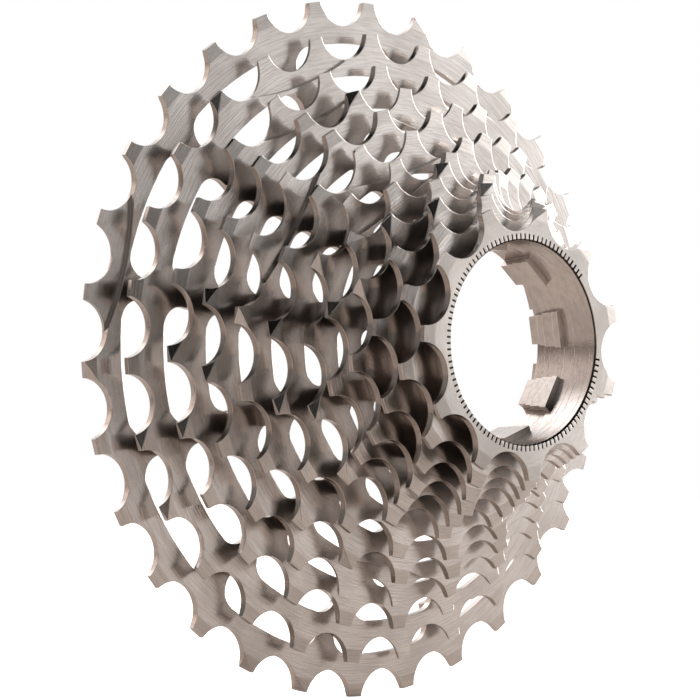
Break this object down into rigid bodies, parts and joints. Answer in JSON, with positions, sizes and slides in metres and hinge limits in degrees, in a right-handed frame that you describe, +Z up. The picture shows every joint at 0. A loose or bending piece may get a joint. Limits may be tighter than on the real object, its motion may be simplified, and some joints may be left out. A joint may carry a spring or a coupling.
{
  "type": "bicycle cassette sprocket cluster",
  "caption": "Stepped cluster of coaxial chain sprockets, a hollow dome of arms and webs with a splined hub bore, that a rear wheel carries for changing gear.",
  "frame": {"origin": "centre of the smallest sprocket's outboard face, on the wheel axis, at the mouth of the hub bore", "axes": "+Y along the wheel axis, inboard, from the smallest sprocket to the largest; +Z up; +X to the right as seen from outboard"},
  "size_m": [0.1222, 0.0415, 0.1226],
  "materials": {
    "sprocket_steel": "machined and nickel plated, satin",
    "web_steel": "turned and nickel plated, satin",
    "collar_steel": "broached and nickel plated, satin"
  },
  "bodies": {
    "root": {"spline_collar": "collar_steel", "sprocket_11t": "sprocket_steel", "sprocket_12t": "sprocket_steel", "sprocket_13t": "sprocket_steel", "sprocket_14t": "sprocket_steel", "sprocket_15t": "sprocket_steel", "sprocket_16t": "sprocket_steel", "sprocket_18t": "sprocket_steel", "sprocket_20t": "sprocket_steel", "sprocket_22t": "sprocket_steel", "sprocket_24t": "sprocket_steel", "sprocket_27t": "sprocket_steel", "sprocket_30t": "sprocket_steel", "web_posts_14t_15t": "web_steel", "web_posts_15t_16t": "web_steel", "web_posts_16t_18t": "web_steel", "web_posts_18t_20t": "web_steel", "web_posts_20t_22t": "web_steel", "web_posts_22t_24t": "web_steel", "web_posts_24t_27t": "web_steel", "web_posts_27t_30t": "web_steel", "web_ring_11t_12t": "web_steel", "web_ring_12t_13t": "web_steel", "web_ring_13t_14t": "web_steel"}
  },
  "joints": []
}
